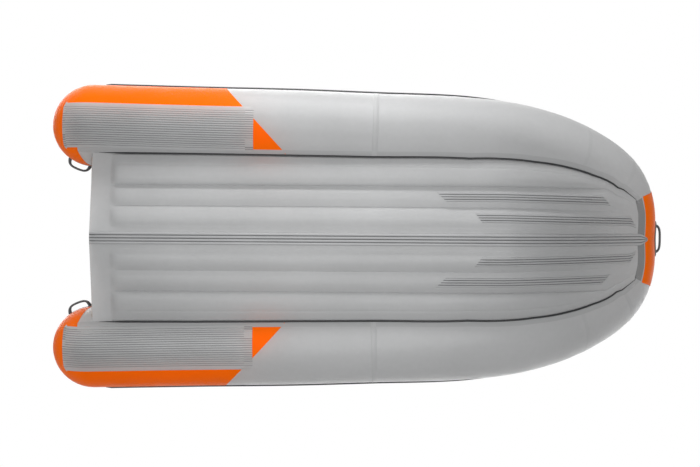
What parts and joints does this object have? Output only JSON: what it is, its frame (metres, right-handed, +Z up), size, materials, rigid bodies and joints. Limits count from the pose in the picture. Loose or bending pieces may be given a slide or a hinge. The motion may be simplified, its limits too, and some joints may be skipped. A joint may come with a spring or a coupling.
{
  "type": "inflatable boat",
  "caption": "Inflatable boat with a U-shaped tube, an inflatable V floor, a raked wooden transom, sliding bench seats, oarlocks, flip-cap valves and grab handles.",
  "frame": {"origin": "on the ground under the middle of the overall length, on the centre plane", "axes": "+X to the bow, +Y to port, +Z up; the boat stands upright on its keel guard"},
  "size_m": [3.6485, 1.802, 0.7675],
  "materials": {
    "grey_coated_fabric": "satin PVC-coated fabric",
    "orange_coated_fabric": "satin PVC-coated fabric",
    "web_fabric": "matt uncoated weave",
    "ribbed_grey_rubber": "matt extruded strip",
    "wear_patch_rubber": "matt ribbed sheet",
    "black_rubber": "satin extrusion",
    "dark_handle_rubber": "matt moulding",
    "varnished_plywood": "clear varnish",
    "anodised_aluminium": "satin anodised",
    "stainless_steel": "polished",
    "black_plastic": "fine grain moulding",
    "grey_plastic": "fine grain moulding"
  },
  "bodies": {
    "hull": {"air_floor": "grey_coated_fabric", "bow_handle": "dark_handle_rubber", "bow_patch": "orange_coated_fabric", "bow_tube": "grey_coated_fabric", "bow_valve_body": "grey_plastic", "drain_body": "black_plastic", "floor_valve_body": "grey_plastic", "inner_motor_pad": "black_plastic", "keel_guard": "ribbed_grey_rubber", "outer_motor_pad": "black_plastic", "port_baffle": "web_fabric", "port_bench_rail": "black_rubber", "port_inner_strake": "ribbed_grey_rubber", "port_inner_web": "web_fabric", "port_middle_web": "web_fabric", "port_oarlock_base": "dark_handle_rubber", "port_outer_strake": "ribbed_grey_rubber", "port_outer_web": "web_fabric", "port_side_tube": "grey_coated_fabric", "port_stern_handle": "dark_handle_rubber", "port_stern_panel": "orange_coated_fabric", "port_towing_eye": "stainless_steel", "port_transom_holder": "grey_plastic", "port_valve_body": "grey_plastic", "port_wear_patch": "wear_patch_rubber", "rub_strake": "black_rubber", "starboard_baffle": "web_fabric", "starboard_bench_rail": "black_rubber", "starboard_inner_strake": "ribbed_grey_rubber", "starboard_inner_web": "web_fabric", "starboard_middle_web": "web_fabric", "starboard_oarlock_base": "dark_handle_rubber", "starboard_outer_strake": "ribbed_grey_rubber", "starboard_outer_web": "web_fabric", "starboard_side_tube": "grey_coated_fabric", "starboard_stern_handle": "dark_handle_rubber", "starboard_stern_panel": "orange_coated_fabric", "starboard_towing_eye": "stainless_steel", "starboard_transom_holder": "grey_plastic", "starboard_valve_body": "grey_plastic", "starboard_wear_patch": "wear_patch_rubber", "transom_board": "varnished_plywood"},
    "aft_bench_group": {"aft_bench": "varnished_plywood", "aft_bench_port_hanger": "anodised_aluminium", "aft_bench_starboard_hanger": "anodised_aluminium"},
    "fore_bench_group": {"fore_bench": "varnished_plywood", "fore_bench_port_hanger": "anodised_aluminium", "fore_bench_starboard_hanger": "anodised_aluminium"},
    "port_oarlock": {"port_oarlock_horn": "anodised_aluminium"},
    "starboard_oarlock": {"starboard_oarlock_horn": "anodised_aluminium"},
    "port_cap": {"port_valve_cap": "grey_plastic"},
    "starboard_cap": {"starboard_valve_cap": "grey_plastic"},
    "bow_cap": {"bow_valve_cap": "grey_plastic"},
    "floor_cap": {"floor_valve_cap": "grey_plastic"},
    "port_plunger": {"port_valve_plunger": "black_plastic"},
    "starboard_plunger": {"starboard_valve_plunger": "black_plastic"},
    "bow_plunger": {"bow_valve_plunger": "black_plastic"},
    "floor_plunger": {"floor_valve_plunger": "black_plastic"},
    "flap": {"drain_flap": "black_rubber"}
  },
  "joints": [
    {"name": "aft_bench_slide", "type": "slide", "parent": "hull", "child": "aft_bench_group", "axis": [1, 0, 0], "range_m": [-0.1, 0.1]},
    {"name": "fore_bench_slide", "type": "slide", "parent": "hull", "child": "fore_bench_group", "axis": [1, 0, 0], "range_m": [-0.1, 0.1]},
    {"name": "port_oarlock_swivel", "type": "hinge", "parent": "hull", "child": "port_oarlock", "pos_m": [-0.39384, 0.62917, 0.5441], "axis": [0, 0, 1], "continuous": true},
    {"name": "starboard_oarlock_swivel", "type": "hinge", "parent": "hull", "child": "starboard_oarlock", "pos_m": [-0.39384, -0.62917, 0.5441], "axis": [0, 0, 1], "continuous": true},
    {"name": "port_cap_hinge", "type": "hinge", "parent": "hull", "child": "port_cap", "pos_m": [-1.24197, 0.45259, 0.41797], "axis": [-0.0134, -0.6085, -0.7934], "range_deg": [0, 150]},
    {"name": "starboard_cap_hinge", "type": "hinge", "parent": "hull", "child": "starboard_cap", "pos_m": [-1.24197, -0.45259, 0.41797], "axis": [0.0134, -0.6085, 0.7934], "range_deg": [0, 150]},
    {"name": "bow_cap_hinge", "type": "hinge", "parent": "hull", "child": "bow_cap", "pos_m": [0.77634, 0.38369, 0.4471], "axis": [0.0462, -0.6281, -0.7768], "range_deg": [0, 150]},
    {"name": "floor_cap_hinge", "type": "hinge", "parent": "hull", "child": "floor_cap", "pos_m": [-1.36184, 0, 0.17385], "axis": [0, -1, 0], "range_deg": [0, 150]},
    {"name": "port_plunger_slide", "type": "slide", "parent": "hull", "child": "port_plunger", "axis": [0.0174, 0.7932, -0.6087], "range_m": [0, 0.004], "stiffness_N_per_m": 400},
    {"name": "starboard_plunger_slide", "type": "slide", "parent": "hull", "child": "starboard_plunger", "axis": [0.0174, -0.7932, -0.6087], "range_m": [0, 0.004], "stiffness_N_per_m": 400},
    {"name": "bow_plunger_slide", "type": "slide", "parent": "hull", "child": "bow_plunger", "axis": [0.2365, 0.7624, -0.6023], "range_m": [0, 0.004], "stiffness_N_per_m": 400},
    {"name": "floor_plunger_slide", "type": "slide", "parent": "hull", "child": "floor_plunger", "axis": [0, 0, -1], "range_m": [0, 0.004], "stiffness_N_per_m": 400},
    {"name": "drain_flap_hinge", "type": "hinge", "parent": "hull", "child": "flap", "pos_m": [-1.57937, 0, 0.20895], "axis": [0, 1, 0], "range_deg": [0, 80], "stiffness_Nm_per_rad": 0.02}
  ]
}
